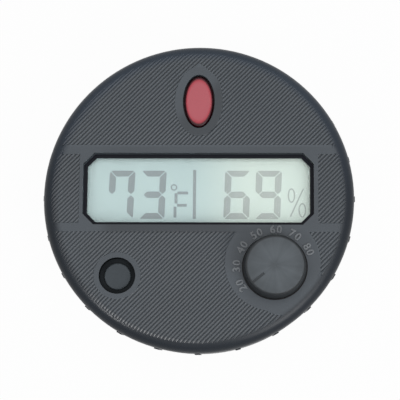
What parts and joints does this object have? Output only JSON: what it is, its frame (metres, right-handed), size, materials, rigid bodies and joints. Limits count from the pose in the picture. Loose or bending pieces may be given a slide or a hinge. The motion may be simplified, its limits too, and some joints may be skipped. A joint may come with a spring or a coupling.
{
  "type": "digital hygrometer",
  "caption": "Round ribbed case with a chamfered display window, an oval lamp lens, a recessed push button, a set knob and a quarter-turn battery door in the back.",
  "frame": {"origin": "centre of the plane that the rear feet stand on", "axes": "+Z out of the face, +Y towards twelve o'clock on the face, +X towards three o'clock"},
  "size_m": [0.0604, 0.0604, 0.019],
  "materials": {
    "shell_plastic": "matte moulded",
    "control_plastic": "satin moulded",
    "mask_plastic": "matte",
    "polarizer_film": "clear film",
    "display_glass": "polished",
    "reflector_film": "satin silver film",
    "inner_plastic": "matte",
    "strip_rubber": "matte",
    "lens_plastic": "clear red, polished",
    "led_plastic": "gloss",
    "switch_plastic": "matte",
    "rotor_plastic": "matte",
    "board_laminate": "solder mask",
    "chip_plastic": "matte",
    "can_steel": "bright tinned",
    "sensor_plastic": "matte",
    "bead_epoxy": "gloss",
    "filter_felt": "felt",
    "cell_steel": "brushed",
    "spring_steel": "rolled",
    "screw_steel": "black zinc"
  },
  "bodies": {
    "case": {"front_shell": "shell_plastic", "rear_cover": "shell_plastic", "display_mask": "mask_plastic", "front_polarizer": "polarizer_film", "front_glass": "display_glass", "rear_glass": "display_glass", "rear_reflector": "reflector_film", "display_holder": "inner_plastic", "contact_strip": "strip_rubber", "lamp_lens": "lens_plastic", "lamp_led": "led_plastic", "switch_body": "switch_plastic", "switch_dome": "spring_steel", "potentiometer_body": "switch_plastic", "circuit_board": "board_laminate", "controller_chip": "chip_plastic", "timing_crystal": "can_steel", "resistors": "chip_plastic", "humidity_sensor": "sensor_plastic", "temperature_bead": "bead_epoxy", "vent_filter": "filter_felt", "coin_cell": "cell_steel", "negative_contact": "spring_steel", "positive_contact": "spring_steel", "cover_screws": "screw_steel", "board_screws": "screw_steel"},
    "knob": {"set_knob": "control_plastic", "knob_clip": "spring_steel", "potentiometer_rotor": "rotor_plastic"},
    "button": {"button_cap": "control_plastic", "switch_plunger": "switch_plastic"},
    "door": {"battery_door": "shell_plastic"}
  },
  "joints": [
    {"name": "knob_turn", "type": "hinge", "parent": "case", "child": "knob", "pos_m": [0.0147, -0.01375, 0], "axis": [0, 0, 1], "range_deg": [-200, 0]},
    {"name": "button_press", "type": "slide", "parent": "case", "child": "button", "axis": [0, 0, -1], "range_m": [0, 0.0005], "stiffness_N_per_m": 3000, "deforming": ["switch_dome"]},
    {"name": "battery_door_turn", "type": "hinge", "parent": "case", "child": "door", "pos_m": [0, 0, 0], "axis": [0, 0, -1], "range_deg": [0, 40]}
  ]
}
